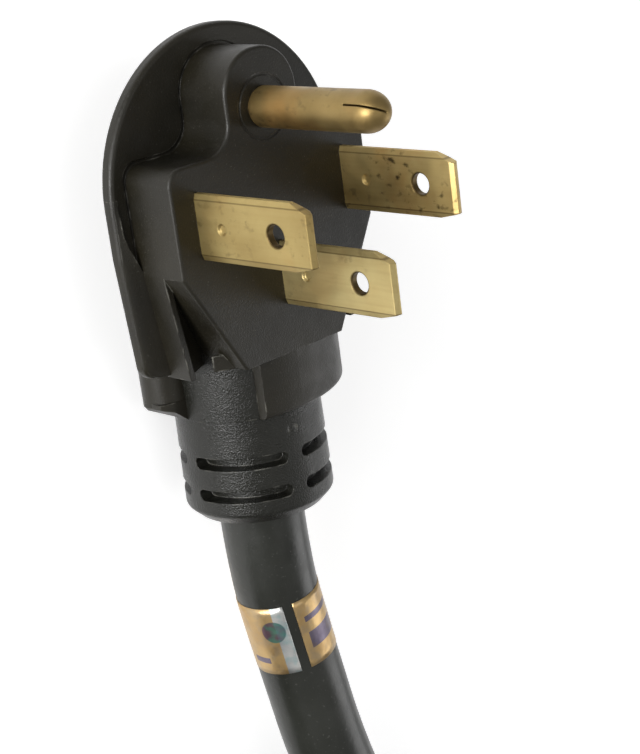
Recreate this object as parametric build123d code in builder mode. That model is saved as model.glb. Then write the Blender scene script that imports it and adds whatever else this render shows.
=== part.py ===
"""Four-pin right-angle plug with a round four-wire cord and ring terminals.

The plug lies on its flat back: Z is up and points along the contacts, Y points
from the cord towards the ground pin, and the origin is in the middle of the back.
"""
from build123d import *
import math
import os

os.makedirs("parts", exist_ok=True)

# Contacts
blade_spacing = 37.0
neutral_drop = 13.6
ground_rise = 17.5
blade_height = 12.2
blade_thickness = 1.7
blade_reach = 28.2
blade_bevel_height = 1.1
blade_bevel_depth = 0.42
fold_gap = 0.24
fold_gap_depth = 0.6
tip_corner_length = 4.4
tip_corner_height = 1.9
tip_low_corner_height = 1.0
tip_lead = 0.9
blade_hole_radius = 2.0
blade_hole_up = 19.8
blade_hole_rim = 0.25
dimple_up = 6.3
dimple_radius = 1.1
dimple_depth = 0.45
pin_radius = 3.8
pin_neck_radius = 3.6
pin_neck_up = 0.4
pin_reach = 30.6
pin_wall = 1.2
pin_dome_height = 4.6
pin_slit = 0.35
pin_slit_length = 7.0
pin_slit_angle = 152.0

# Plug body
face_height = 32.4
flange_front = 20.8
flange_thickness = 2.9
flange_radius = 28.5
flange_center_y = 4.0
flange_skirt_half = 27.0
flange_skirt_bottom = -28.3
flange_corner = 2.6
flange_edge = 0.9
rear_depth = 16.8
nose_half = 24.5
nose_top = 11.2
nose_corner = 3.2
lobe_half = 8.9
lobe_top = 28.4
lobe_inner_radius = 5.5
taper_start = -8.6
chin_half = 12.8
chin_bottom = -28.9
nose_edge = 0.6
wing_height = 27.0
wing_foot_half = 21.8
wing_wall = 1.2
shoulder_half_width = 21.8
shoulder_bottom = -40.5
shoulder_back_bottom = -37.0
shoulder_back_corner = 4.5
shoulder_edge = 1.2
notch_inner_x = -8.5
foot_groove = 0.7
foot_groove_depth = 0.4
pin_ring_radius = 6.1
pin_ring_width = 0.5
pin_ring_depth = 0.12

# Strain relief
relief_radius = 14.4
collar_radius = 15.3
relief_flare = 14.8
relief_bottom = -62.2
relief_rim = 2.0
core_top = -24.6
slot_rows = (-49.5, -56.1)
slot_height = 2.4
slot_depth = 3.0
slot_span = 68.0
slot_angle = 144.0
slots_around = 4
relief_dimple_radius = 1.15
relief_dimple_depth = 1.0
relief_dimple_y = -44.4
relief_dimple_angle = 98.0

# Cord and conductors
cord_radius = 8.5
jacket_inner_y = -47.0
wire_radius = 2.9
copper_radius = 2.05
wire_offset = 3.2
jacket_run = 8.0
coil_center = (-102.6, -218.0)
coil_radius = 100.0
coil_entry_angle = -18.95
coil_sweep = 300.0
layer_gap = 0.3

# Contact carrier and crimp barrels
carrier_bottom = 17.4
carrier_top = 30.2
carrier_inset = 2.6
carrier_low_end = -21.6
barrel_wall = 1.2
barrel_length = 11.0
barrel_height = 11.5
barrel_seat = 0.25
ground_barrel_x = -5.0
fit_clearance = 0.05

# Terminals
ring_outer_radius = 6.2
ring_hole_radius = 2.7
ring_thickness = 1.4
ring_barrel_length = 11.0
ring_neck = 9.0
ring_neck_width = 6.0
terminal_lift = 0.1

# Values worked out from the driving dimensions
half_face = face_height / 2
flange_back = flange_front - flange_thickness
half_blade = blade_height / 2
half_thickness = blade_thickness / 2
half_spacing = blade_spacing / 2
flat_half = half_blade - blade_bevel_height
upper_layer = 3 * cord_radius + layer_gap
barrel_bore = copper_radius + fit_clearance
barrel_radius = barrel_bore + barrel_wall
blade_root = barrel_height - barrel_radius / 2
taper_length = taper_start - chin_bottom
chin_slope = (nose_half - chin_half) / taper_length
wing_slope = (nose_half - wing_foot_half) / taper_length
pocket_apex = wing_wall / (chin_slope - wing_slope)
axis_line = Axis((0, 0, half_face), (0, 1, 0))
contact_places = {
    "hot_blade_left": (-half_spacing, 0.0),
    "hot_blade_right": (half_spacing, 0.0),
    "neutral_blade": (0.0, -neutral_drop),
}


def corner_radii(points, share=0.45):
    """Radius of each corner: a share of the shorter run over tan(half the turn)."""
    radii = []
    for before, here, after in zip(points, points[1:], points[2:]):
        run_in = Vector(*here) - Vector(*before)
        run_out = Vector(*after) - Vector(*here)
        turn = math.radians(run_in.get_angle(run_out))
        shorter = min(run_in.length, run_out.length)
        radii.append(share * shorter / math.tan(turn / 2))
    return radii


def tube(points, radius, inner=0.0, lead_in=0.0, lead_out=0.0):
    """A round tube along straight runs joined by tangent arcs, longer by its leads."""
    radii = corner_radii(points)
    first = Vector(*points[0])
    last = Vector(*points[-1])
    first_run = (Vector(*points[1]) - first).normalized()
    last_run = (last - Vector(*points[-2])).normalized()
    route = [first - first_run * lead_in, *points[1:-1], last + last_run * lead_out]
    with BuildPart() as body:
        with BuildLine() as path:
            FilletPolyline(*route, radius=radii)
        wire = path.wires()[0]
        with BuildSketch(Plane(origin=wire @ 0, z_dir=wire % 0)):
            Circle(radius)
            if inner:
                Circle(inner, mode=Mode.SUBTRACT)
        sweep(path=wire)
    return body.part, wire.length


# Nose outline, from the top lobe over the shoulders and down to the chin
def nose_sketch(plane, inset=0.0, chin=True):
    """Outline of the nose; with the chin it narrows below the blades."""
    half = nose_half - inset
    lobe = lobe_half - inset
    top = nose_top - inset
    with BuildSketch(plane) as outline:
        with BuildLine():
            if chin:
                Polyline(
                    (0, lobe_top - inset), (lobe, lobe_top - inset), (lobe, top), (half, top),
                    (half, taper_start), (chin_half - inset, chin_bottom + inset),
                    (0, chin_bottom + inset),
                )
            else:
                Polyline(
                    (0, lobe_top - inset), (lobe, lobe_top - inset), (lobe, top), (half, top),
                    (half, taper_start), (wing_foot_half - inset, chin_bottom + inset),
                    (0, chin_bottom + inset),
                )
            mirror(about=Plane.YZ)
        make_face()
        lobe_tips = outline.vertices().group_by(Axis.Y)[-1]
        fillet([v for v in lobe_tips if abs(v.X) > 1], lobe * 0.94)
        inner = [v for v in outline.vertices() if abs(abs(v.X) - lobe) < 0.01 and abs(v.Y - top) < 0.01]
        fillet(inner, lobe_inner_radius)
        outer = [v for v in outline.vertices() if abs(abs(v.X) - half) < 0.01 and abs(v.Y - top) < 0.01]
        fillet(outer, nose_corner)
    return outline.sketch


def disc_with_skirt(plane, radius, skirt_half, corner):
    """A round plate that runs down into a narrower skirt at the shoulder."""
    with BuildSketch(plane) as outline:
        with Locations((0, flange_center_y)):
            Circle(radius)
        with BuildLine():
            Polyline(
                (0, flange_center_y), (radius, flange_center_y), (radius, flange_center_y - 9),
                (skirt_half, flange_skirt_bottom), (0, flange_skirt_bottom),
            )
            mirror(about=Plane.YZ)
        make_face()
        low = outline.vertices().group_by(Axis.Y)[0]
        fillet([v for v in low if abs(v.X) > 1], corner)
    return outline.sketch


# Blades: two layers of folded sheet with bevelled long edges and a crimp barrel
def blade(place):
    """One folded blade at its place, with its barrel below and behind it."""
    x, y = place
    side = 1 if x <= 0 else -1
    barrel_x = x + side * (barrel_radius - barrel_seat)
    with BuildPart() as made:
        with BuildSketch(Plane.XY.offset(blade_root)):
            with BuildLine():
                Polyline(
                    (x, y + half_blade - fold_gap_depth),
                    (x + fold_gap / 2, y + half_blade),
                    (x + half_thickness - blade_bevel_depth, y + half_blade),
                    (x + half_thickness, y + flat_half),
                    (x + half_thickness, y - flat_half),
                    (x + half_thickness - blade_bevel_depth, y - half_blade),
                    (x + fold_gap / 2, y - half_blade),
                    (x, y - half_blade + fold_gap_depth),
                )
                mirror(about=Plane.YZ.offset(x))
            make_face()
        extrude(amount=face_height + blade_reach - blade_root)
        mouth = Plane(origin=(barrel_x, y - half_blade, barrel_height), z_dir=(0, 1, 0))
        with BuildSketch(mouth):
            Circle(barrel_radius)
        extrude(amount=barrel_length)
        with BuildSketch(mouth):
            Circle(barrel_bore)
        extrude(amount=barrel_length, mode=Mode.SUBTRACT)
        tip = made.faces().sort_by(Axis.Z)[-1]
        long_edges = [e for e in tip.edges() if e.length > blade_height * 0.6]
        chamfer(long_edges, tip_lead, 0.45)
        for sign, corner_height in ((1, tip_corner_height), (-1, tip_low_corner_height)):
            with BuildSketch(Plane.YZ.offset(x)):
                with BuildLine():
                    Polyline(
                        (y + sign * (half_blade + 1), face_height + blade_reach - tip_corner_length),
                        (y + sign * half_blade, face_height + blade_reach - tip_corner_length),
                        (y + sign * (half_blade - corner_height), face_height + blade_reach),
                        (y + sign * (half_blade - corner_height), face_height + blade_reach + 1),
                        (y + sign * (half_blade + 1), face_height + blade_reach + 1),
                        close=True,
                    )
                make_face()
            extrude(amount=blade_thickness, both=True, mode=Mode.SUBTRACT)
        hole_plane = Plane(origin=(x, y, face_height + blade_hole_up), z_dir=(1, 0, 0))
        with BuildSketch(hole_plane):
            Circle(blade_hole_radius)
        extrude(amount=blade_thickness, both=True, mode=Mode.SUBTRACT)
        for sign in (1, -1):
            face_x = x + sign * half_thickness
            rim = Plane(origin=(face_x, y, face_height + blade_hole_up), z_dir=(-sign, 0, 0))
            with BuildSketch(rim):
                Circle(blade_hole_radius + blade_hole_rim)
            extrude(amount=blade_hole_rim, taper=45, mode=Mode.SUBTRACT)
        dimple_at = (x - half_thickness, y, face_height + dimple_up)
        with BuildSketch(Plane(origin=dimple_at, z_dir=(1, 0, 0))):
            Circle(dimple_radius)
        extrude(amount=dimple_depth, taper=40, mode=Mode.SUBTRACT)
    return made.part, (barrel_x, y - half_blade)


contacts = {}
barrel_mouths = {}
for name, place in contact_places.items():
    contacts[name], barrel_mouths[name] = blade(place)

# Ground pin: rolled from sheet, so it is hollow, with a seam at its domed tip
pin_shaft_top = face_height + pin_reach - pin_dome_height
pin_bore = pin_radius - pin_wall
with BuildPart() as ground_pin:
    with BuildSketch(Plane.XZ.offset(-ground_rise)):
        with BuildLine():
            Polyline(
                (0, barrel_height), (pin_neck_radius, barrel_height),
                (pin_neck_radius, face_height + pin_neck_up), (pin_radius, face_height + pin_neck_up),
                (pin_radius, pin_shaft_top),
            )
            EllipticalCenterArc(
                (0, pin_shaft_top), pin_radius, pin_dome_height, start_angle=0, arc_size=90
            )
            Line((0, pin_shaft_top + pin_dome_height), (0, barrel_height))
        make_face()
    revolve(axis=Axis((0, ground_rise, 0), (0, 0, 1)))
    with BuildSketch(Plane.XY.offset(flange_front)):
        with Locations((0, ground_rise)):
            Circle(pin_bore)
    extrude(amount=pin_shaft_top - flange_front, mode=Mode.SUBTRACT)
    slit_reach = pin_radius + 1
    slit_x = math.cos(math.radians(pin_slit_angle))
    slit_y = math.sin(math.radians(pin_slit_angle))
    slit_low = face_height + pin_reach - pin_slit_length
    slit_plane = Plane(origin=(0, ground_rise, slit_low), x_dir=(slit_x, slit_y, 0), z_dir=(0, 0, 1))
    with BuildSketch(slit_plane):
        with Locations((slit_reach / 2, 0)):
            Rectangle(slit_reach, pin_slit)
    extrude(amount=pin_slit_length + 1, mode=Mode.SUBTRACT)
    ground_barrel_start = ground_rise
    with BuildSketch(Plane.XZ.offset(-ground_barrel_start)):
        with Locations((ground_barrel_x, barrel_height)):
            Circle(barrel_radius)
    extrude(amount=barrel_length)
    with BuildSketch(Plane.XZ.offset(-ground_barrel_start)):
        with Locations((ground_barrel_x, barrel_height)):
            Circle(barrel_bore)
    extrude(amount=barrel_length, mode=Mode.SUBTRACT)
contacts["ground_pin"] = ground_pin.part
barrel_mouths["ground_pin"] = (ground_barrel_x, ground_barrel_start - barrel_length)

# Insulated conductors inside the plug, from each barrel to the jacket's cut end
low = half_face - wire_offset
high = half_face + wire_offset
inner_routes = {
    "black": ("hot_blade_left", [(-15.6, -15.0, 11.4), (-11.5, -24.0, 12.6), (-5.2, -32.0, 18.6)], -1, high),
    "red": ("hot_blade_right", [(15.6, -15.0, 11.4), (11.5, -24.0, 12.6), (5.2, -32.0, 18.6)], 1, high),
    "white": ("neutral_blade", [(3.1, -27.5, 11.2), (3.5, -33.5, 12.2)], 1, low),
    "green": ("ground_pin", [(-5.2, -6.0, 11.2), (-4.8, -20.0, 10.4), (-3.8, -31.0, 11.6)], -1, low),
}
inner_wires = {}
inner_coppers = {}
inner_solids = {}
for colour, (contact, corners, side, level) in inner_routes.items():
    mouth_x, mouth_y = barrel_mouths[contact]
    route = [
        (mouth_x, mouth_y, barrel_height),
        (mouth_x, mouth_y - 3.5, barrel_height),
        *corners,
        (side * wire_offset, jacket_inner_y + jacket_run, level),
        (side * wire_offset, jacket_inner_y, level),
    ]
    inner_wires[colour] = tube(route, wire_radius, copper_radius)[0]
    inner_coppers[colour] = tube(route, copper_radius, lead_in=barrel_length - 1)[0]
    inner_solids[colour] = tube(route, wire_radius)[0]

# Contact carrier: a block inside the nose that the contacts pass through
with BuildPart() as contact_carrier:
    carrier_outline = nose_sketch(Plane.XY.offset(carrier_bottom), inset=carrier_inset)
    extrude(carrier_outline, amount=carrier_top - carrier_bottom)
    split(bisect_by=Plane.XZ.offset(-carrier_low_end), keep=Keep.BOTTOM)
    for contact in contacts.values():
        add(contact, mode=Mode.SUBTRACT)
    with BuildSketch(Plane.XY.offset(carrier_bottom)):
        with Locations((0, ground_rise)):
            Circle(pin_neck_radius)
    extrude(amount=carrier_top - carrier_bottom, mode=Mode.SUBTRACT)

# Strain relief: round core in the shoulder and a slotted sleeve below it
with BuildPart() as strain_relief:
    with BuildSketch(Plane.YZ):
        with BuildLine():
            Polyline(
                (core_top, half_face), (core_top, half_face + collar_radius),
                (shoulder_bottom, half_face + collar_radius),
                (shoulder_bottom, half_face + relief_radius),
                (relief_bottom + relief_rim, half_face + relief_flare),
                (relief_bottom, half_face + relief_flare - relief_rim),
                (relief_bottom, half_face), close=True,
            )
        make_face()
    revolve(axis=axis_line)
    rim_edges = strain_relief.edges().filter_by(GeomType.CIRCLE).group_by(Axis.Y)[1]
    fillet(rim_edges, relief_rim * 0.6)
    for row in slot_rows:
        for k in range(slots_around):
            angle = math.radians(slot_angle + slot_span / 2 + 360 / slots_around * k)
            start = Plane(
                origin=(0, 0, half_face), x_dir=(0, 1, 0), z_dir=(math.sin(angle), 0, -math.cos(angle))
            )
            with BuildSketch(start):
                with Locations((row, relief_flare + 1 - slot_depth / 2)):
                    Rectangle(slot_height, slot_depth + 2)
            revolve(axis=axis_line, revolution_arc=slot_span, mode=Mode.SUBTRACT)
            for turn in (0, -slot_span):
                end = angle + math.radians(turn)
                out = Vector(math.cos(end), 0, math.sin(end))
                floor_at = Vector(0, row, half_face) + out * (relief_flare - slot_depth)
                with BuildSketch(Plane(origin=floor_at, x_dir=(0, 1, 0), z_dir=out)):
                    Circle(slot_height / 2)
                extrude(amount=slot_depth + 1, mode=Mode.SUBTRACT)
    dimple_angle = math.radians(relief_dimple_angle)
    dimple_out = (math.cos(dimple_angle), 0, math.sin(dimple_angle))
    dimple_at = (
        dimple_out[0] * relief_radius, relief_dimple_y, half_face + dimple_out[2] * relief_radius
    )
    with BuildSketch(Plane(origin=dimple_at, z_dir=dimple_out)):
        Circle(relief_dimple_radius)
    extrude(amount=-relief_dimple_depth, mode=Mode.SUBTRACT)
    with BuildSketch(Plane.XZ.offset(-jacket_inner_y)):
        with Locations((0, half_face)):
            Circle(cord_radius)
    extrude(amount=jacket_inner_y - relief_bottom, mode=Mode.SUBTRACT)
    for solid in inner_solids.values():
        add(solid, mode=Mode.SUBTRACT)

# Finger flange: a plate with a rounded rim
with BuildPart() as flange:
    flange_outline = disc_with_skirt(
        Plane.XY.offset(flange_back), flange_radius, flange_skirt_half, flange_corner
    )
    extrude(flange_outline, amount=flange_thickness)
    fillet(flange.edges().group_by(Axis.Z)[-1] + flange.edges().group_by(Axis.Z)[0], flange_edge)


def half_oval(plane, depth, bottom, top, left, corner=0.0):
    """Band of an oval that is as wide as the shoulder, between two heights."""
    with BuildSketch(plane) as band:
        with Locations((0, half_face)):
            Ellipse(shoulder_half_width, depth)
        with Locations(((left + shoulder_half_width) / 2, (bottom + top) / 2)):
            Rectangle(shoulder_half_width - left, top - bottom, mode=Mode.INTERSECT)
        if corner:
            fillet(band.vertices().sort_by(Axis.X)[0], corner)
    return band.sketch


def back_profile(plane, left):
    """Section of the domed back, cut flat at the bottom, up to the flange."""
    lower = half_oval(plane, rear_depth, 0, half_face, left)
    upper = half_oval(plane, half_face, half_face, flange_back, left)
    return lower + upper


# Plug body: domed back, finger flange, nose with wings, chin and pockets, and shoulder
with BuildPart() as plug_body:
    extrude(
        back_profile(Plane.XZ.offset(-flange_skirt_bottom), -shoulder_half_width),
        amount=-(flange_center_y - flange_skirt_bottom),
    )
    shoulder_back = half_oval(
        Plane.XZ.offset(-shoulder_back_bottom), rear_depth, 0, half_face, -shoulder_half_width,
        shoulder_back_corner,
    )
    extrude(shoulder_back, amount=-(flange_skirt_bottom - shoulder_back_bottom))
    dome = back_profile(Plane.XZ.offset(-flange_center_y), 0)
    revolve(dome, axis=Axis((0, flange_center_y, 0), (0, 0, 1)), revolution_arc=180)
    add(flange.part)
    foot_plane = Plane.XY.offset(flange_front - foot_groove_depth)
    extrude(
        nose_sketch(foot_plane, inset=-foot_groove, chin=False), amount=foot_groove_depth,
        mode=Mode.SUBTRACT,
    )
    extrude(
        nose_sketch(foot_plane, chin=False), amount=wing_height - flange_front + foot_groove_depth
    )
    extrude(nose_sketch(Plane.XY.offset(wing_height)), amount=face_height - wing_height)
    face_rim = plug_body.faces().sort_by(Axis.Z)[-1].edges()
    upper_rim = [e for e in face_rim if e.center().Y > chin_bottom + 1]
    fillet(upper_rim, nose_edge)
    shoulder_front = half_oval(
        Plane.XZ.offset(-shoulder_bottom), half_face, half_face, face_height, -shoulder_half_width
    )
    extrude(shoulder_front, amount=-(chin_bottom + 3 - shoulder_bottom))
    low_rim = [e for e in plug_body.faces().sort_by(Axis.Y)[0].edges() if e.center().Z > half_face + 1]
    fillet(low_rim, shoulder_edge)
    for sign in (1, -1):
        with BuildSketch(Plane.XY.offset(flange_front)):
            with BuildLine():
                Polyline(
                    (sign * (nose_half - pocket_apex * chin_slope), taper_start - pocket_apex),
                    (sign * (wing_foot_half - wing_wall), chin_bottom),
                    (sign * chin_half, chin_bottom),
                    close=True,
                )
            make_face()
        extrude(amount=wing_height - flange_front, mode=Mode.SUBTRACT)
    with BuildSketch(Plane.XY.offset(half_face)):
        with Locations(((notch_inner_x - nose_half) / 2, (chin_bottom + shoulder_bottom) / 2 - 1)):
            Rectangle(nose_half + notch_inner_x, chin_bottom - shoulder_bottom + 2)
    extrude(amount=face_height, mode=Mode.SUBTRACT)
    with BuildSketch(Plane.XZ.offset(-shoulder_bottom + 1)):
        with Locations((0, half_face)):
            Circle(collar_radius)
    extrude(amount=-(core_top - shoulder_bottom + 1), mode=Mode.SUBTRACT)
    with BuildSketch(Plane.XY.offset(carrier_bottom)):
        with Locations((0, ground_rise)):
            Circle(pin_neck_radius)
    extrude(amount=face_height, mode=Mode.SUBTRACT)
    with BuildSketch(Plane.XY.offset(face_height - pin_ring_depth)):
        with Locations((0, ground_rise)):
            Circle(pin_ring_radius)
            Circle(pin_ring_radius - pin_ring_width, mode=Mode.SUBTRACT)
    extrude(amount=pin_ring_depth, mode=Mode.SUBTRACT)
    for solid in (contact_carrier.part, *contacts.values(), *inner_solids.values()):
        add(solid, mode=Mode.SUBTRACT)
    for name, (mouth_x, mouth_y) in barrel_mouths.items():
        with BuildSketch(Plane.XZ.offset(-mouth_y)):
            with Locations((mouth_x, barrel_height)):
                Circle(barrel_radius)
        extrude(amount=-barrel_length, mode=Mode.SUBTRACT)

# Cord from the jacket's cut end in the strain relief to the top layer of the coil
entry = math.radians(coil_entry_angle)
entry_point = (
    coil_center[0] + coil_radius * math.cos(entry), coil_center[1] + coil_radius * math.sin(entry)
)
lead_run = 32.5
lead_route = [
    (0.0, jacket_inner_y, half_face),
    (0.0, -74.5, half_face),
    (4.4, -98.5, half_face),
    (9.8, -125.0, 18.2),
    (13.0, -155.0, 22.8),
    (10.8, -187.0, upper_layer),
    (
        entry_point[0] - lead_run * math.sin(entry),
        entry_point[1] + lead_run * math.cos(entry), upper_layer,
    ),
    (*entry_point, upper_layer),
]
lead_part, lead_length = tube(lead_route, cord_radius)


def coil_point(travel, height, inset=0.0):
    """Point on the coil after some travel, in degrees clockwise from its entry."""
    angle = entry - math.radians(travel)
    reach = coil_radius - inset
    return (
        coil_center[0] + reach * math.cos(angle), coil_center[1] + reach * math.sin(angle), height
    )


# Coil: both layers as one tall ring, and the ramp from the top layer to the lower one
ramp_drop = upper_layer - cord_radius
ramp_route = [
    coil_point(coil_sweep - 5, upper_layer),
    coil_point(coil_sweep + 5.9, upper_layer, 2.4),
    coil_point(coil_sweep + 14.6, upper_layer - ramp_drop * 0.026, 4.5),
    coil_point(coil_sweep + 25.8, upper_layer - ramp_drop * 0.282, 6.8),
    coil_point(coil_sweep + 35.9, cord_radius + ramp_drop * 0.306, 6.1),
    coil_point(coil_sweep + 45.8, cord_radius + ramp_drop * 0.056, 5.9),
    coil_point(coil_sweep + 56.2, cord_radius, 2.1),
    coil_point(coil_sweep + 65.5, cord_radius),
]
ramp_part, ramp_length = tube(ramp_route, cord_radius)
with BuildPart() as cord_coil:
    entry_heading = (math.sin(entry), -math.cos(entry), 0)
    with BuildSketch(Plane(origin=(*entry_point, 0), x_dir=(0, 0, 1), z_dir=entry_heading)):
        with Locations(((upper_layer + cord_radius) / 2, 0)):
            SlotOverall(upper_layer + cord_radius, 2 * cord_radius)
    revolve(axis=Axis((*coil_center, 0), (0, 0, -1)), revolution_arc=coil_sweep)
    add(ramp_part)
coil_length = 2 * math.pi * coil_radius * 2 * coil_sweep / 360 + ramp_length

# Cord's other end, from the lower layer of the coil to the jacket's cut
tail_start = coil_point(coil_sweep, cord_radius)
tail_heading = entry - math.radians(coil_sweep)
tail_run = 36.0
tail_route = [
    tail_start,
    (
        tail_start[0] + tail_run * math.sin(tail_heading),
        tail_start[1] - tail_run * math.cos(tail_heading), cord_radius,
    ),
    (11.4, -205.5, cord_radius),
    (19.2, -236.5, cord_radius),
    (19.4, -265.0, cord_radius),
]
tail_part, tail_length = tube(tail_route, cord_radius)

# Free conductors past the jacket's cut, each with a ring terminal that lies on the floor
cut_point = Vector(*tail_route[-1])
cut_heading = (cut_point - Vector(*tail_route[-2])).normalized()
cut_side = Vector(-cut_heading.Y, cut_heading.X, 0)
rest_height = barrel_radius + terminal_lift


def beyond_cut(along, aside, height):
    """Point past the jacket's cut, along and beside the cord's last heading."""
    spot = cut_point + cut_heading * along + cut_side * aside
    return (spot.X, spot.Y, height)


near = cord_radius - wire_offset
top = cord_radius + wire_offset
free_routes = {
    "black": [(13, near), (40, 15, 3.7), (72, 36, rest_height), (100, 47, rest_height)],
    "red": [(14, top), (42, 7.5, 7.6), (76, 16, rest_height), (106, 16.5, rest_height)],
    "white": [(13, top), (41, -7, 8.8), (70, -13, rest_height), (101, -17, rest_height)],
    "green": [(12, near), (38, -17, 3.8), (69, -38, rest_height), (93, -54, rest_height)],
}


def ring_terminal(spot, heading):
    """Crimped ring: a barrel round the copper and a flat ring that lies low."""
    across = Plane(origin=spot, x_dir=(-heading.Y, heading.X, 0), z_dir=heading)
    flat = Plane(origin=(spot[0], spot[1], terminal_lift), x_dir=heading, z_dir=(0, 0, 1))
    ring_at = ring_barrel_length + ring_neck
    with BuildPart() as made:
        with BuildSketch(across):
            Circle(barrel_radius)
        extrude(amount=ring_barrel_length)
        with BuildSketch(flat):
            with Locations(((ring_barrel_length - 3 + ring_at) / 2, 0)):
                Rectangle(ring_at - ring_barrel_length + 3, ring_neck_width)
            with Locations((ring_at, 0)):
                Circle(ring_outer_radius)
        extrude(amount=ring_thickness)
        with BuildSketch(across):
            Circle(barrel_bore)
        extrude(amount=ring_barrel_length, mode=Mode.SUBTRACT)
        with BuildSketch(flat):
            with Locations((ring_at, 0)):
                Circle(ring_hole_radius)
        extrude(amount=ring_thickness, mode=Mode.SUBTRACT)
    hole = Vector(*spot) + heading * ring_at
    return made.part, hole


named_parts = {
    "plug_body": plug_body.part,
    "strain_relief": strain_relief.part,
    "contact_carrier": contact_carrier.part,
    **contacts,
    "cord_lead": lead_part,
    "cord_coil": cord_coil.part,
    "cord_tail": tail_part,
}
for colour in inner_wires:
    named_parts["plug_wire_" + colour] = inner_wires[colour]
    named_parts["plug_copper_" + colour] = inner_coppers[colour]
print("radii of the lead", [round(r) for r in corner_radii(lead_route)])
print("radii of the ramp", [round(r) for r in corner_radii(ramp_route)])
print("radii of the tail", [round(r) for r in corner_radii(tail_route)])
for colour, local_route in free_routes.items():
    (first_reach, level), *rest = local_route
    aside = math.copysign(wire_offset, rest[0][1])
    route = [beyond_cut(0, aside, level), beyond_cut(first_reach, aside, level)]
    route += [beyond_cut(*point) for point in rest]
    print("radii of", colour, [round(r) for r in corner_radii(route)])
    insulation, free_length = tube(route, wire_radius, copper_radius)
    named_parts["free_wire_" + colour] = insulation
    named_parts["free_copper_" + colour] = tube(route, copper_radius, lead_out=ring_barrel_length)[0]
    end_heading = Vector(*route[-1]) - Vector(*route[-2])
    end_heading = Vector(end_heading.X, end_heading.Y, 0).normalized()
    terminal, hole = ring_terminal(route[-1], end_heading)
    named_parts["terminal_" + colour] = terminal
    print("free conductor", colour, round(free_length, 1), "ring hole at", hole)
print("lengths: lead", round(lead_length, 1), "coil", round(coil_length, 1), "tail", round(tail_length, 1))
print("cord in all", round(lead_length + coil_length + tail_length, 1))
section = math.pi * cord_radius ** 2
print("lead volume over section times length", lead_part.volume / (section * lead_length))
print("tail volume over section times length", tail_part.volume / (section * tail_length))

for name, part in named_parts.items():
    part.label = name
    export_step(part, "parts/" + name + ".step")
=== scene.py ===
"""Scene of an appliance power cord: a four-pin moulded plug, its coiled cord and four ring terminals."""
import math

import bmesh
import bpy
from mathutils import Matrix, Vector


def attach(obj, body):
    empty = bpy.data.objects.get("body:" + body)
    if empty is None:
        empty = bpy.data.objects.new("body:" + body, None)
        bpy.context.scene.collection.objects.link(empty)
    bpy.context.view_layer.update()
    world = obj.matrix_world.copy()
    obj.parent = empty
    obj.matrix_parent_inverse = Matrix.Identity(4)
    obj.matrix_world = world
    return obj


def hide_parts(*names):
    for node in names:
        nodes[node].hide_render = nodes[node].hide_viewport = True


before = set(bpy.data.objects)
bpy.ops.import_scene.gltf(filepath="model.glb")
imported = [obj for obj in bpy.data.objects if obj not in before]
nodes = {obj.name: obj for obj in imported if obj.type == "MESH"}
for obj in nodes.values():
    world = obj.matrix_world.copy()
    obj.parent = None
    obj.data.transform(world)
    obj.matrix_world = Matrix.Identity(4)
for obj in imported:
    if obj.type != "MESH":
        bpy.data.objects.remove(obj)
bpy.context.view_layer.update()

# Sizes in metres, the same as the solids have
CORD_RADIUS = 0.0085
WIRE_RADIUS = 0.0029
COPPER_RADIUS = 0.00205
CORD_AXIS_HEIGHT = 0.0162
LOWER_LAYER = CORD_RADIUS
UPPER_LAYER = 0.0258
COIL_CENTER = (-0.1026, -0.218)
COIL_RADIUS = 0.1
BLADE_HOLE_HEIGHT = 0.0522
BLADE_HOLE_RADIUS = 0.002
FLAT_HALF = 0.005
LINE_MIDDLE = 0.0
NEUTRAL_MIDDLE = -0.0136

# Coil, in degrees clockwise from its entry
COIL_ENTRY = math.radians(-18.95)
COIL_STEP = 20
COIL_SWEEP = 300
COIL_WAVE = 0.0008
COIL_WAVE_RATE = 0.061

# Conductors past the jacket's cut
CUT_POINT = Vector((0.0194, -0.265, 0.0))
CUT_HEADING = Vector((0.007, -0.99998, 0.0))
CUT_SIDE = Vector((0.99998, 0.007, 0.0))
LOW_EXIT = 0.0053
HIGH_EXIT = 0.0117
RESTING = 0.0034
STRAND_REACH = 0.011
WIRE_ROUTES = {
    "black": [
        (0, 0.0032, LOW_EXIT), (0.013, 0.0032, LOW_EXIT), (0.04, 0.015, 0.0037),
        (0.072, 0.036, RESTING), (0.1, 0.047, RESTING),
    ],
    "red": [
        (0, 0.0032, HIGH_EXIT), (0.014, 0.0032, HIGH_EXIT), (0.042, 0.0075, 0.0076),
        (0.076, 0.016, RESTING), (0.106, 0.0165, RESTING),
    ],
    "white": [
        (0, -0.0032, HIGH_EXIT), (0.013, -0.0032, HIGH_EXIT), (0.041, -0.007, 0.0088),
        (0.07, -0.013, RESTING), (0.101, -0.017, RESTING),
    ],
    "green": [
        (0, -0.0032, LOW_EXIT), (0.012, -0.0032, LOW_EXIT), (0.038, -0.017, 0.0038),
        (0.069, -0.038, RESTING), (0.093, -0.054, RESTING),
    ],
}

# Camera
CAMERA_PLACE = (-0.2256, 0.0745, 0.2795)
CAMERA_RIGHT = Vector((0.6964, -0.126, 0.7065))
CAMERA_UP = Vector((0.307, 0.9421, -0.1346))
TOWARDS_VIEWER = Vector((-0.6487, 0.3107, 0.6948))
LENS = 88.87
SENSOR_WIDTH = 36.0

# Foil label: its reach along the cord in metres, and round it in degrees from the viewer's side
LABEL_START = 0.0352
LABEL_END = 0.0508
LABEL_FIRST_ANGLE = math.radians(17)
LABEL_LAST_ANGLE = math.radians(363)
LABEL_ROWS = 12
LABEL_COLUMNS = 96
LABEL_DISC = (4, 90)
SILVER_COLUMNS = 5
GOLD, SILVER, VIOLET = range(3)

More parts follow.
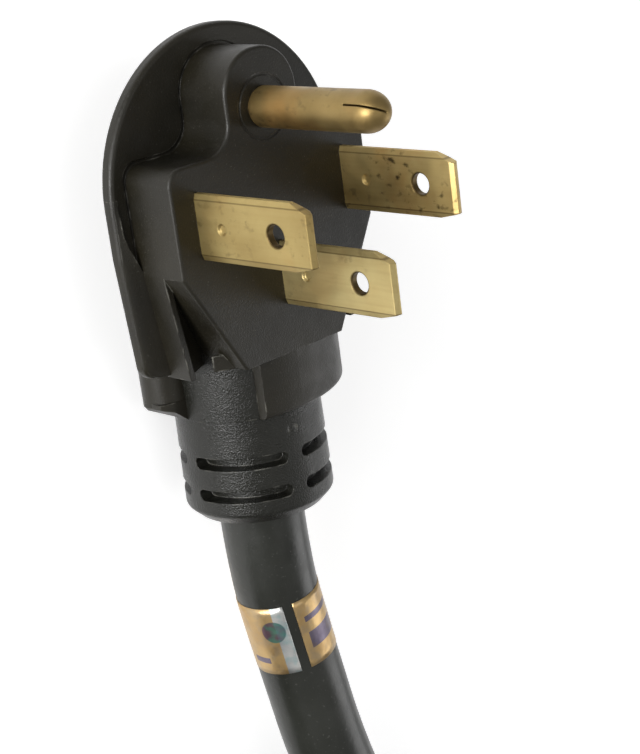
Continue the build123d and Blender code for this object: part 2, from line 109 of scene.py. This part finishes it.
# Flank, heel and pocket floor, in millimetres
FLANK_TOP = 6.0
FLANK_BOTTOM = -28.35
FLANK_STATIONS = 40
FLANK_FADE = 12.0
FLANGE_RADIUS = 28.5
FLANGE_MIDDLE = 4.0
FLANGE_FRONT = 20.8
SKIRT_START = -5.0
SKIRT_SLOPE = 0.0644
SKIRT_CORNER = 2.6
SKIRT_CORNER_START = -25.7
NOSE_HALF = 24.5
NOSE_TAPER_START = -8.6
NOSE_TAPER_SLOPE = 0.133
ROOT_REACH = 28.4
ROOT_BOW = 0.0157
ROOT_TOP = 8.0
RIM_SECTION = (
    (-0.45, 0.0, 18.0, 0.0),
    (0.0, 0.1, 18.7, 0.0),
    (0.0, 0.16, 19.5, 0.0),
    (-0.03, 0.0, 20.2, 0.0),
    (-0.45, 0.0, 20.72, 0.03),
    (-0.9, 0.0, FLANGE_FRONT, 0.12),
)
RIM_DEPTH = 0.9
RISE_TO_WALL = ((0.7, 0.28), (0.35, 0.52), (0.0, 0.8))
ROOT_DEPTH = 1.3
HEEL_STATIONS = (20.5, 19.8, 19.0, 18.0, 17.3, 16.5, 15.8, 15.3, 14.0, 12.5)
HEEL_SLOPES = ((20.5, 0.4), (18.0, 0.45))
HEEL_TOP = -36.0
BACK_BOTTOM = -37.0
HEEL_BOTTOM = -40.4
BACK_CORNER = 4.5
BACK_CORNER_MIDDLE = (17.3, 11.7)
OVAL_HALF = 21.8
OVAL_DEPTH = 16.8
OVAL_MIDDLE = 16.2
POCKET_TOP = -11.6
POCKET_BOTTOM = -28.85
POCKET_STATIONS = 8
POCKET_DEPTH = 20.6
SHARP_ANGLE = math.radians(32)


def srgb(red, green, blue):
    """Colour given in 0 to 255 display values, as the linear colour a shader takes."""
    linear = [((c / 255 + 0.055) / 1.055) ** 2.4 if c > 10 else c / 255 / 12.92 for c in (red, green, blue)]
    return (*linear, 1.0)


# Camera
def add_camera():
    """Camera that sees the plug from its left, with the cord running down."""
    data = bpy.data.cameras.new("camera")
    data.sensor_width = SENSOR_WIDTH
    data.lens = LENS
    camera = bpy.data.objects.new("camera", data)
    bpy.context.collection.objects.link(camera)
    turn = Matrix((CAMERA_RIGHT, CAMERA_UP, TOWARDS_VIEWER)).transposed()
    camera.matrix_world = Matrix.Translation(CAMERA_PLACE) @ turn.to_4x4()
    bpy.context.scene.camera = camera


# Cords
def spline_piece(name, points, radius, material):
    """Round cord on one smooth spline whose control points are given."""
    data = bpy.data.curves.new(name, "CURVE")
    data.dimensions = "3D"
    data.bevel_depth = radius
    data.bevel_resolution = 10
    data.resolution_u = 12
    data.use_fill_caps = True
    spline = data.splines.new("NURBS")
    spline.points.add(len(points) - 1)
    for held, (x, y, z) in zip(spline.points, points):
        held.co = (x, y, z, 1.0)
    spline.order_u = 3
    spline.use_endpoint_u = True
    data.materials.append(material)
    piece = bpy.data.objects.new(name, data)
    bpy.context.collection.objects.link(piece)
    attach(piece, "root")
    return piece


def line_of(piece):
    """Points along a spline's own line, read from a copy with no thickness."""
    bare = piece.data.copy()
    bare.bevel_depth = 0.0
    holder = bpy.data.objects.new("line", bare)
    bpy.context.collection.objects.link(holder)
    bpy.context.view_layer.update()
    mesh = bpy.data.meshes.new_from_object(holder)
    line = [vertex.co.copy() for vertex in mesh.vertices]
    bpy.data.objects.remove(holder)
    bpy.data.meshes.remove(mesh)
    bpy.data.curves.remove(bare)
    return line


def spot_at(line, distance):
    """Point and heading some way along a line."""
    gone = 0.0
    for start, end in zip(line, line[1:]):
        run = (end - start).length
        if gone + run >= distance:
            return start.lerp(end, (distance - gone) / run), (end - start).normalized()
        gone += run
    return line[-1], (line[-1] - line[-2]).normalized()


def outward_at(travel):
    """Heading from the coil's middle to its turns after some travel."""
    angle = COIL_ENTRY - math.radians(travel)
    return Vector((math.cos(angle), math.sin(angle), 0))


def coil_point(travel, height, inset=0.0):
    """Point on the coil after some travel."""
    angle = COIL_ENTRY - math.radians(travel)
    reach = COIL_RADIUS - inset
    return (COIL_CENTER[0] + reach * math.cos(angle), COIL_CENTER[1] + reach * math.sin(angle), height)


def coil_layer(first_travel, height):
    """Control points of one layer, a little outside the line that the spline then follows."""
    outside = COIL_RADIUS * (1 - 1 / math.cos(math.radians(COIL_STEP / 2)))
    travels = range(first_travel + COIL_STEP // 2, first_travel + COIL_SWEEP, COIL_STEP)
    waves = [COIL_WAVE * math.sin(travel * COIL_WAVE_RATE) for travel in travels]
    return [coil_point(travel, height, outside + wave) for travel, wave in zip(travels, waves)]


def cord_route():
    """Whole route of the cord: out of the plug, over to the coil, twice round and on to the cut end."""
    lead = [
        (0.0, -0.047, CORD_AXIS_HEIGHT),
        (-0.0012, -0.073, CORD_AXIS_HEIGHT),
        (0.0034, -0.0985, CORD_AXIS_HEIGHT),
        (0.0066, -0.125, 0.0188),
        (0.015, -0.155, 0.0228),
        (0.0108, -0.187, UPPER_LAYER),
        (0.0025, -0.2197, UPPER_LAYER),
    ]
    drop = UPPER_LAYER - LOWER_LAYER
    ramp = [
        coil_point(305.9, UPPER_LAYER, 0.0024),
        coil_point(314.6, UPPER_LAYER - drop * 0.026, 0.0045),
        coil_point(325.8, UPPER_LAYER - drop * 0.282, 0.0068),
        coil_point(335.9, LOWER_LAYER + drop * 0.306, 0.0061),
        coil_point(345.8, LOWER_LAYER + drop * 0.056, 0.0059),
        coil_point(356.2, LOWER_LAYER, 0.0021),
    ]
    tail = [
        (-0.0035, -0.1795, LOWER_LAYER),
        (0.0114, -0.2055, LOWER_LAYER),
        (0.0192, -0.2365, LOWER_LAYER),
        (0.0194, -0.265, LOWER_LAYER),
    ]
    return lead + coil_layer(0, UPPER_LAYER) + ramp + coil_layer(360, LOWER_LAYER) + tail


def beyond_cut(along, aside, height):
    """Point past the jacket's cut, along and beside the cord's last heading."""
    spot = CUT_POINT + CUT_HEADING * along + CUT_SIDE * aside
    return (spot.x, spot.y, height)


# Materials
class Graph:
    """Small helper that adds shader nodes to one material and links them."""

    def __init__(self, name):
        self.material = bpy.data.materials.new(name)
        self.material.use_nodes = True
        self.tree = self.material.node_tree
        self.shader = self.tree.nodes["Principled BSDF"]
        self.place = self.add("ShaderNodeTexCoord").outputs["Object"]

    def add(self, kind, **settings):
        """New node with some of its settings."""
        node = self.tree.nodes.new(kind)
        for key, value in settings.items():
            setattr(node, key, value)
        return node

    def link(self, source, target):
        """Joins an output to an input."""
        self.tree.links.new(source, target)

    def noise(self, scale, detail=3.0, stretch=(1.0, 1.0, 1.0), offset=0.0):
        """Noise value in object space, drawn out along the axes by the stretch."""
        mapping = self.add("ShaderNodeMapping")
        mapping.inputs["Scale"].default_value = stretch
        mapping.inputs["Location"].default_value = (offset, offset * 0.7, -offset * 0.3)
        self.link(self.place, mapping.inputs["Vector"])
        noise = self.add("ShaderNodeTexNoise")
        noise.inputs["Scale"].default_value = scale
        noise.inputs["Detail"].default_value = detail
        self.link(mapping.outputs["Vector"], noise.inputs["Vector"])
        return noise.outputs["Fac"]

    def ramp(self, value, low, high, to_low=0.0, to_high=1.0):
        """Value carried from one range to another, held at its ends."""
        node = self.add("ShaderNodeMapRange")
        node.inputs["From Min"].default_value = low
        node.inputs["From Max"].default_value = high
        node.inputs["To Min"].default_value = to_low
        node.inputs["To Max"].default_value = to_high
        self.link(value, node.inputs["Value"])
        return node.outputs["Result"]

    def math(self, operation, first, second):
        """One arithmetic step on two values."""
        node = self.add("ShaderNodeMath", operation=operation)
        for socket, value in zip(node.inputs, (first, second)):
            if isinstance(value, (int, float)):
                socket.default_value = value
            else:
                self.link(value, socket)
        return node.outputs["Value"]

    def mix(self, factor, first, second):
        """Colour between two colours."""
        node = self.add("ShaderNodeMix", data_type="RGBA")
        self.link(factor, node.inputs["Factor"])
        for socket, value in ((node.inputs[6], first), (node.inputs[7], second)):
            if isinstance(value, tuple):
                socket.default_value = value
            else:
                self.link(value, socket)
        return node.outputs[2]

    def edges(self, radius):
        """Mask that is 1 on sharp edges and 0 on flat ground."""
        bevel = self.add("ShaderNodeBevel", samples=6)
        bevel.inputs["Radius"].default_value = radius
        geometry = self.add("ShaderNodeNewGeometry")
        dot = self.add("ShaderNodeVectorMath", operation="DOT_PRODUCT")
        self.link(bevel.outputs["Normal"], dot.inputs[0])
        self.link(geometry.outputs["Normal"], dot.inputs[1])
        return self.ramp(dot.outputs["Value"], 0.995, 0.9)

    def near_line(self, centre, keep, inner, outer):
        """Mask that is 1 close to a line along the axis that isn't kept, or to a point."""
        away = self.add("ShaderNodeVectorMath", operation="SUBTRACT")
        self.link(self.place, away.inputs[0])
        away.inputs[1].default_value = centre
        flat = self.add("ShaderNodeVectorMath", operation="MULTIPLY")
        self.link(away.outputs["Vector"], flat.inputs[0])
        flat.inputs[1].default_value = keep
        reach = self.add("ShaderNodeVectorMath", operation="LENGTH")
        self.link(flat.outputs["Vector"], reach.inputs[0])
        return self.ramp(reach.outputs["Value"], outer, inner)

    def bump(self, height, distance, soft_edge=0.0):
        """Relief on the surface, over edges that are rounded by a small radius."""
        node = self.add("ShaderNodeBump")
        node.inputs["Distance"].default_value = distance
        self.link(height, node.inputs["Height"])
        if soft_edge:
            bevel = self.add("ShaderNodeBevel", samples=6)
            bevel.inputs["Radius"].default_value = soft_edge
            self.link(bevel.outputs["Normal"], node.inputs["Normal"])
        self.link(node.outputs["Normal"], self.shader.inputs["Normal"])

    def finish(self, colour, roughness, metallic=0.0, specular=0.5):
        """Colour and gloss on the shader."""
        self.link(colour, self.shader.inputs["Base Color"])
        self.link(roughness, self.shader.inputs["Roughness"])
        self.shader.inputs["Metallic"].default_value = metallic
        self.shader.inputs["Specular IOR Level"].default_value = specular
        return self.material


def moulding(name, first, second, grain, gloss, specks):
    """Dark moulded plastic with a fine grain and pale scuffs on its edges."""
    graph = Graph(name)
    cloud = graph.ramp(graph.noise(45, 4.0), 0.35, 0.65)
    base = graph.mix(cloud, first, second)
    scuffs = graph.ramp(graph.noise(380, 5.0), 0.48, 0.66)
    scuffed = graph.math("MULTIPLY", graph.edges(0.0004), scuffs)
    dust = graph.ramp(graph.noise(2600, 1.0, offset=3.0), 0.7, 0.78)
    worn = graph.math("MAXIMUM", graph.math("MULTIPLY", scuffed, 0.4), graph.math("MULTIPLY", dust, specks))
    colour = graph.mix(worn, base, srgb(150, 148, 138))
    roughness = graph.ramp(graph.noise(260, 4.0, offset=1.0), 0.3, 0.7, gloss - 0.06, gloss + 0.06)
    graph.bump(graph.noise(3200, 2.0), grain, 0.00035)
    return graph.finish(colour, roughness, specular=0.35)


def brass(name, pale, deep, mottle, offset, middle=None):
    """Dull brass sheet: drawn streaks, a faint cloud and stains; on a blade, painted shade along the
    creases of its folded edges and on and round its hole.
    """
    graph = Graph(name)
    cloud = graph.ramp(graph.noise(110, 5.0, offset=offset), 0.3, 0.7)
    base = graph.mix(cloud, pale, deep)
    streak = graph.ramp(graph.noise(1300, 3.0, (1.0, 1.0, 0.05), offset), 0.42, 0.7, 0.0, 0.16)
    streaked = graph.mix(streak, base, srgb(140, 116, 66))
    tarnish = graph.ramp(graph.noise(75, 3.0, offset=offset + 11.0), 0.52, 0.68, 0.0, mottle * 0.6)
    toned = graph.mix(tarnish, streaked, srgb(168, 120, 62))
    stain = graph.ramp(graph.noise(620, 8.0, (1.0, 1.0, 0.8), offset + 5.0), 0.56, 0.68, 0.0, mottle)
    spread = graph.ramp(graph.noise(90, 2.0, offset=offset + 8.0), 0.45, 0.62)
    colour = graph.mix(graph.math("MULTIPLY", stain, spread), toned, srgb(70, 58, 38))
    swell = graph.noise(48, 1.0, offset=offset + 3.0)
    drawn = graph.noise(1500, 3.0, (1.0, 1.0, 0.2))
    height = graph.math("ADD", graph.math("MULTIPLY", drawn, 0.04), swell)
    if middle is not None:
        # Painted shade: dark brown on the hole's wall and a thin ring round it, and a thin line along the
        # creases where the flat meets the folded edges.
        centre = (0, middle, BLADE_HOLE_HEIGHT)
        across, from_hole = (0, 1, 0), (0, 1, 1)
        rim = graph.near_line(centre, from_hole, BLADE_HOLE_RADIUS + 0.00012, BLADE_HOLE_RADIUS + 0.00045)
        within = graph.near_line(centre, across, FLAT_HALF - 0.00016, FLAT_HALF - 0.00002)
        beyond = graph.near_line(centre, across, FLAT_HALF + 0.0001, FLAT_HALF + 0.00022)
        crease_shade = graph.math("MULTIPLY", graph.math("SUBTRACT", beyond, within), 0.55)
        painted_shade = graph.math("MAXIMUM", crease_shade, graph.math("MULTIPLY", rim, 0.9))
        colour = graph.mix(painted_shade, colour, srgb(66, 50, 26))
    roughness = graph.ramp(graph.noise(300, 4.0, offset=offset), 0.3, 0.7, 0.4, 0.52)
    graph.bump(height, 0.0005, 0.0003)
    return graph.finish(colour, roughness, metallic=0.86)


def soft_plastic(name, first, second, gloss, grain=0.00002):
    """Smooth cord or insulation plastic, with a faint cloud in its colour."""
    graph = Graph(name)
    cloud = graph.ramp(graph.noise(60, 4.0), 0.35, 0.65)
    dust = graph.ramp(graph.noise(1500, 2.0, offset=2.0), 0.66, 0.74, 0.0, 0.1)
    colour = graph.mix(dust, graph.mix(cloud, first, second), srgb(140, 140, 136))
    roughness = graph.ramp(graph.noise(180, 4.0, offset=1.0), 0.3, 0.7, gloss - 0.06, gloss + 0.06)
    graph.bump(graph.noise(900, 3.0), grain)
    return graph.finish(colour, roughness, specular=0.45)


def bare_metal(name, pale, deep, gloss):
    """Plain metal, mottled a little."""
    graph = Graph(name)
    colour = graph.mix(graph.ramp(graph.noise(400, 4.0), 0.35, 0.65), pale, deep)
    roughness = graph.ramp(graph.noise(700, 3.0, offset=1.0), 0.3, 0.7, gloss - 0.08, gloss + 0.08)
    graph.bump(graph.noise(1800, 2.0), 0.00001, 0.0001)
    return graph.finish(colour, roughness, metallic=1.0)


def foil(name, pale, deep, tint, patch=None):
    """Printed metal foil with a faint play of colour, and a round patch of two colours."""
    graph = Graph(name)
    base = graph.mix(graph.ramp(graph.noise(160, 3.0), 0.35, 0.65), pale, deep)
    colour = graph.mix(graph.ramp(graph.noise(420, 3.0, offset=4.0), 0.5, 0.66, 0.0, 0.6), base, tint)
    if patch is not None:
        disc = graph.near_line(patch, (1, 1, 1), 0.0024, 0.0026)
        hue = graph.ramp(graph.noise(330, 2.0, offset=7.0), 0.42, 0.58)
        shine = graph.mix(hue, srgb(92, 70, 96), srgb(56, 122, 112))
        colour = graph.mix(graph.math("MULTIPLY", disc, 0.85), colour, shine)
    roughness = graph.ramp(graph.noise(500, 3.0, offset=1.0), 0.3, 0.7, 0.3, 0.42)
    graph.bump(graph.noise(240, 3.0), 0.00025)
    return graph.finish(colour, roughness, metallic=0.75)


def woven_strap(name):
    """Black nylon strap with a fine weave."""
    graph = Graph(name)
    wave = graph.add("ShaderNodeTexWave", bands_direction="Z")
    wave.inputs["Scale"].default_value = 420
    graph.link(graph.place, wave.inputs["Vector"])
    fuzz = graph.noise(3000, 3.0)
    height = graph.math("ADD", graph.math("MULTIPLY", wave.outputs["Fac"], 0.5), fuzz)
    colour = graph.mix(graph.ramp(fuzz, 0.3, 0.7), srgb(22, 22, 23), srgb(52, 52, 54))
    graph.bump(height, 0.00012)
    return graph.finish(colour, graph.ramp(fuzz, 0.3, 0.7, 0.75, 0.9), specular=0.3)


def paint(material, *names):
    """Gives solids of the model their finish."""
    for name in names:
        for held in nodes[name].material_slots:
            held.material = material


def dress_solids(moulded, insulations, copper):
    """Finishes of every solid that shows as it is."""
    paint(moulded, "plug_body")
    grained = moulding("grained_plastic", srgb(21, 21, 17), srgb(28, 28, 24), 0.00013, 0.3, 0.06)
    paint(grained, "strain_relief")
    left = brass("brass_left", srgb(168, 149, 98), srgb(150, 130, 82), 0.35, 0.0, LINE_MIDDLE)
    paint(left, "hot_blade_left")
    neutral = brass("brass_neutral", srgb(190, 173, 122), srgb(176, 157, 106), 0.3, 2.0, NEUTRAL_MIDDLE)
    paint(neutral, "neutral_blade")
    right = brass("brass_right", srgb(196, 174, 118), srgb(176, 150, 94), 0.9, 9.0, LINE_MIDDLE)
    paint(right, "hot_blade_right")
    pin = brass("brass_pin", srgb(148, 127, 82), srgb(126, 105, 64), 0.6, 6.0)
    paint(pin, "ground_pin")
    carrier = soft_plastic("carrier_plastic", srgb(60, 60, 58), srgb(72, 72, 70), 0.5)
    paint(carrier, "contact_carrier")
    tin = bare_metal("tinned_metal", srgb(206, 206, 202), srgb(176, 176, 172), 0.34)
    paint(tin, *["terminal_" + colour for colour in WIRE_ROUTES])
    for colour in WIRE_ROUTES:
        paint(insulations[colour], "plug_wire_" + colour)
        paint(copper, "plug_copper_" + colour)


# Moulding, label and straps
def mesh_piece(name, vertices, faces, materials):
    """Smooth mesh object from points and faces."""
    mesh = bpy.data.meshes.new(name)
    mesh.from_pydata([tuple(v) for v in vertices], [], faces)
    for material in materials:
        mesh.materials.append(material)
    for polygon in mesh.polygons:
        polygon.use_smooth = True
    mesh.update()
    piece = bpy.data.objects.new(name, mesh)
    bpy.context.collection.objects.link(piece)
    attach(piece, "root")
    return piece


def thicken(piece, thickness):
    """Gives a sheet some thickness outwards."""
    solid = piece.modifiers.new("thickness", "SOLIDIFY")
    solid.thickness = thickness
    solid.offset = 1.0


def lofted(name, loops, material):
    """Closed solid through a row of closed sections with as many points each."""
    count = len(loops[0])
    faces = [tuple(range(count))]
    for row in range(len(loops) - 1):
        low, high = row * count, (row + 1) * count
        for step in range(count):
            after = (step + 1) % count
            faces.append((low + step, high + step, high + after, low + after))
    last_row = range((len(loops) - 1) * count, len(loops) * count)
    faces.append(tuple(last_row)[::-1])
    piece = mesh_piece(name, [point for loop in loops for point in loop], faces, [material])
    tidy = bmesh.new()
    tidy.from_mesh(piece.data)
    bmesh.ops.recalc_face_normals(tidy, faces=tidy.faces)
    tidy.to_mesh(piece.data)
    tidy.free()
    piece.data.set_sharp_from_angle(angle=SHARP_ANGLE)
    return piece


def steps(first, last, count):
    """Evenly spaced values from the first to the last."""
    return [first + (last - first) * k / count for k in range(count + 1)]


def in_metres(side, x, y, z):
    """Point on one side of the plug, given in millimetres."""
    return (side * x / 1000, y / 1000, z / 1000)


def flange_reach(y):
    """How far out the flange's edge lies, round its side and down its skirt."""
    reach = math.sqrt(FLANGE_RADIUS ** 2 - max(0.0, y - FLANGE_MIDDLE) ** 2)
    reach -= max(0.0, SKIRT_START - y) * SKIRT_SLOPE
    if y < SKIRT_CORNER_START:
        down = SKIRT_CORNER_START - y
        reach += math.sqrt(max(0.0, SKIRT_CORNER ** 2 - down ** 2)) - SKIRT_CORNER
    return reach


def flank_root(y, outer):
    """How far out the flank's inner edge lies, along the round of the flange and then the nose's wall."""
    wall = NOSE_HALF - max(0.0, NOSE_TAPER_START - y) * NOSE_TAPER_SLOPE
    root = max(ROOT_REACH - ROOT_BOW * (ROOT_TOP - y) ** 2, wall - 0.2)
    return min(root, outer - ROOT_DEPTH)


def add_flank(name, side, material):
    """Smooth flank from the flange's rim to the foot of the wing, under the round part of the flange."""
    loops = []
    for y in steps(FLANK_TOP, FLANK_BOTTOM, FLANK_STATIONS):
        outer = flange_reach(y)
        inner = flank_root(y, outer)
        proud = min(1.0, (FLANK_TOP - y) / FLANK_FADE)
        run = outer - RIM_DEPTH - inner
        outline = [(outer + x + out * proud, z + up * proud) for x, out, z, up in RIM_SECTION]
        outline += [(inner + run * share, FLANGE_FRONT + up * proud) for share, up in RISE_TO_WALL]
        outline += [(inner, 20.2), (outer - ROOT_DEPTH, 19.8), (outer - ROOT_DEPTH, 18.6)]
        loops.append([in_metres(side, x, y, z) for x, z in outline])
    return lofted(name, loops, material)


def add_heel(name, side, material):
    """Slanted lower end of the shoulder's back half, beside the collar."""
    loops = []
    for x in HEEL_STATIONS:
        bottom = BACK_BOTTOM
        for start, slope in HEEL_SLOPES:
            bottom -= max(0.0, start - x) * slope
        bottom = max(bottom, HEEL_BOTTOM)
        corner_x, corner_z = BACK_CORNER_MIDDLE
        round_off = math.sqrt(max(0.0, BACK_CORNER ** 2 - max(0.0, x - corner_x) ** 2))
        top = corner_z + round_off + 0.03
        low = OVAL_MIDDLE - OVAL_DEPTH * math.sqrt(1 - (x / OVAL_HALF) ** 2)
        outline = [(HEEL_TOP, top), (bottom, top), (bottom, low), (HEEL_TOP, low)]
        loops.append([in_metres(side, x, y, z) for y, z in outline])
    return lofted(name, loops, material)


def add_pocket_floor(name, side, material):
    """Floor of the pocket between wing and chin, rising to its upper corner."""
    loops = []
    for y in steps(POCKET_TOP, POCKET_BOTTOM, POCKET_STATIONS):
        share = (POCKET_TOP - y) / (POCKET_TOP - POCKET_BOTTOM)
        wing, wing_height = 23.0 - 2.3 * share, 26.6 - 1.6 * share
        chin, chin_height = 22.7 - 10.0 * share, 26.3 - 5.2 * share
        outline = [(wing, wing_height), (chin, chin_height), (chin, POCKET_DEPTH), (wing, POCKET_DEPTH)]
        loops.append([in_metres(side, x, y, z) for x, z in outline])
    return lofted(name, loops, material)


def label_points(line):
    """Grid of points of the label, just over the cord."""
    points = []
    for row in range(LABEL_ROWS + 1):
        spot, heading = spot_at(line, LABEL_START + (LABEL_END - LABEL_START) * row / LABEL_ROWS)
        facing = (TOWARDS_VIEWER - heading * TOWARDS_VIEWER.dot(heading)).normalized()
        side = heading.cross(facing)
        for column in range(LABEL_COLUMNS + 1):
            angle = LABEL_FIRST_ANGLE + (LABEL_LAST_ANGLE - LABEL_FIRST_ANGLE) * column / LABEL_COLUMNS
            out = facing * math.cos(angle) - side * math.sin(angle)
            points.append(spot + out * (CORD_RADIUS + 0.00006))
    return points


def label_field(row, column):
    """Which of the label's colours a face has: silver at one end, violet fields, and gold for the rest."""
    if column >= LABEL_COLUMNS - SILVER_COLUMNS:
        return SILVER
    if 3 <= column <= 17 and row in (3, 6, 7, 8):
        return VIOLET
    if 77 <= column <= 84 and row == 9:
        return VIOLET
    return GOLD


def add_label(line):
    """Foil label wrapped round the cord, with a gap between its ends on the viewer's side."""
    vertices = label_points(line)
    width = LABEL_COLUMNS + 1
    faces = []
    for row in range(LABEL_ROWS):
        for column in range(LABEL_COLUMNS):
            corner = row * width + column
            faces.append((corner, corner + 1, corner + width + 1, corner + width))
    disc = vertices[LABEL_DISC[0] * width + LABEL_DISC[1]]
    gold = foil("label_gold", srgb(190, 161, 112), srgb(174, 144, 98), srgb(160, 142, 116), disc)
    silver = foil("label_silver", srgb(206, 206, 202), srgb(150, 154, 156), srgb(140, 176, 178), disc)
    violet = foil("label_violet", srgb(112, 104, 118), srgb(92, 84, 100), srgb(120, 104, 96))
    label = mesh_piece("foil_label", vertices, faces, [gold, silver, violet])
    for polygon in label.data.polygons:
        row, column = divmod(polygon.index, LABEL_COLUMNS)
        polygon.material_index = label_field(row, column)
    thicken(label, 0.00014)
    return label


def add_tie(name, travel, material):
    """Strap that holds the coil's two layers together."""
    middle = Vector(coil_point(travel, (UPPER_LAYER + LOWER_LAYER) / 2))
    outward = outward_at(travel)
    forward = Vector((outward.y, -outward.x, 0))
    half_stack = (UPPER_LAYER - LOWER_LAYER) / 2
    radius = CORD_RADIUS + 0.0002
    around, across, half_width, lowest = 64, 6, 0.0075, 0.0014
    vertices = []
    for row in range(across + 1):
        shift = forward * (half_width * (2 * row / across - 1))
        for step in range(around):
            angle = 2 * math.pi * step / around
            rise = math.sin(angle)
            lift = math.copysign(half_stack, rise) if abs(rise) > 1e-6 else 0
            spot = middle + shift + outward * radius * math.cos(angle)
            spot.z = max(spot.z + lift + radius * rise, lowest)
            vertices.append(spot)
    faces = []
    for row in range(across):
        for step in range(around):
            corner = row * around + step
            beside = row * around + (step + 1) % around
            faces.append((corner, beside, beside + around, corner + around))
    tie = mesh_piece(name, vertices, faces, [material])
    thicken(tie, 0.0013)
    return tie


# Floor and light
def larger(tree, first, second):
    """Node output with the larger of two values."""
    node = tree.nodes.new("ShaderNodeMath")
    node.operation = "MAXIMUM"
    tree.links.new(first, node.inputs[0])
    tree.links.new(second, node.inputs[1])
    return node.outputs["Value"]


def floor_paint():
    """Pale matt paint that looks white to the camera, in reflections and through glass."""
    material = bpy.data.materials.new("floor_paint")
    material.use_nodes = True
    tree = material.node_tree
    shader = tree.nodes["Principled BSDF"]
    shader.inputs["Base Color"].default_value = (0.9, 0.9, 0.9, 1.0)
    shader.inputs["Roughness"].default_value = 0.9
    shader.inputs["Specular IOR Level"].default_value = 0.0
    shader.inputs["Emission Color"].default_value = (1.0, 1.0, 1.0, 1.0)
    path = tree.nodes.new("ShaderNodeLightPath").outputs
    seen = larger(tree, path["Is Camera Ray"], path["Is Glossy Ray"])
    seen = larger(tree, seen, path["Is Transmission Ray"])
    glow = tree.nodes.new("ShaderNodeMath")
    glow.operation = "MULTIPLY"
    glow.inputs[1].default_value = 0.45
    tree.links.new(seen, glow.inputs[0])
    tree.links.new(glow.outputs["Value"], shader.inputs["Emission Strength"])
    return material


def add_floor():
    """Plain floor that keeps the object's shadow."""
    mesh = bpy.data.meshes.new("floor")
    reach = 8.0
    corners = [(-reach, -reach, 0), (reach, -reach, 0), (reach, reach, 0), (-reach, reach, 0)]
    mesh.from_pydata(corners, [], [(0, 1, 2, 3)])
    mesh.materials.append(floor_paint())
    floor = bpy.data.objects.new("floor", mesh)
    bpy.context.collection.objects.link(floor)


def add_light(name, place, target, size, power):
    """Large soft lamp aimed at a point."""
    data = bpy.data.lights.new(name, "AREA")
    data.shape = "RECTANGLE"
    data.size, data.size_y = size
    data.energy = power
    lamp = bpy.data.objects.new(name, data)
    bpy.context.collection.objects.link(lamp)
    lamp.location = place
    lamp.rotation_euler = (Vector(target) - Vector(place)).to_track_quat("-Z", "Y").to_euler()


def add_lights():
    """Even studio light with one bright side and a rim on the other."""
    world = bpy.data.worlds.new("studio")
    world.use_nodes = True
    background = world.node_tree.nodes["Background"]
    background.inputs["Color"].default_value = (1.0, 1.0, 1.0, 1.0)
    background.inputs["Strength"].default_value = 0.32
    bpy.context.scene.world = world
    add_light("key", (-1.0, 0.6, 0.6), (0, -0.02, 0.02), (0.8, 0.6), 6)
    add_light("side", (-1.1, 0.1, 0.28), (0, -0.04, 0.02), (0.4, 0.4), 13)
    add_light("rim", (0.7, -0.4, 0.45), (0, -0.04, 0.02), (0.5, 0.5), 1.8)
    add_light("top", (-0.1, 0.1, 1.4), (0, -0.05, 0), (1.0, 1.0), 3)


# Pieces put together
def wire_insulations():
    """Insulation of the four conductors."""
    return {
        "black": soft_plastic("insulation_black", srgb(28, 28, 29), srgb(36, 36, 37), 0.36),
        "red": soft_plastic("insulation_red", srgb(168, 26, 24), srgb(150, 20, 20), 0.36),
        "white": soft_plastic("insulation_white", srgb(228, 226, 218), srgb(214, 211, 202), 0.38),
        "green": soft_plastic("insulation_green", srgb(22, 108, 54), srgb(18, 92, 46), 0.36),
    }


def add_cord():
    """Jacketed cord in the place of its three solids."""
    jacket = soft_plastic("jacket_plastic", srgb(29, 30, 26), srgb(37, 38, 34), 0.34, 0.00004)
    cord = spline_piece("cord_jacket", cord_route(), CORD_RADIUS, jacket)
    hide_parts("cord_lead", "cord_coil", "cord_tail")
    return cord


def add_conductor(colour, route, insulation, copper):
    """One conductor past the jacket's cut, with its bare strands in the ring terminal's barrel."""
    points = [beyond_cut(*point) for point in route]
    wire = spline_piece("conductor_" + colour, points, WIRE_RADIUS, insulation)
    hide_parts("free_wire_" + colour)
    heading = (Vector(points[-1]) - Vector(points[-2])).normalized()
    strand_end = tuple(Vector(points[-1]) + heading * STRAND_REACH)
    strand = spline_piece("strand_" + colour, points[:-1] + [strand_end], COPPER_RADIUS, copper)
    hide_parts("free_copper_" + colour)


def add_moulded_pieces(material):
    """Pieces that complete the plug's moulding on both sides."""
    for side, word in ((-1, "left"), (1, "right")):
        add_flank("flank_" + word, side, material)
        add_heel("heel_" + word, side, material)
        add_pocket_floor("pocket_floor_" + word, side, material)


add_camera()
copper = bare_metal("copper_strand", srgb(214, 134, 92), srgb(176, 98, 62), 0.36)
strap = woven_strap("strap_weave")
moulded = moulding("moulded_plastic", srgb(21, 19, 12), srgb(30, 27, 18), 0.00005, 0.42, 0.1)
insulations = wire_insulations()
cord = add_cord()
label = add_label(line_of(cord))
ties = [add_tie("coil_tie_near", 96, strap), add_tie("coil_tie_far", 236, strap)]
for colour, route in WIRE_ROUTES.items():
    add_conductor(colour, route, insulations[colour], copper)
add_moulded_pieces(moulded)
dress_solids(moulded, insulations, copper)
add_floor()
add_lights()
bpy.context.scene.view_settings.view_transform = "Standard"
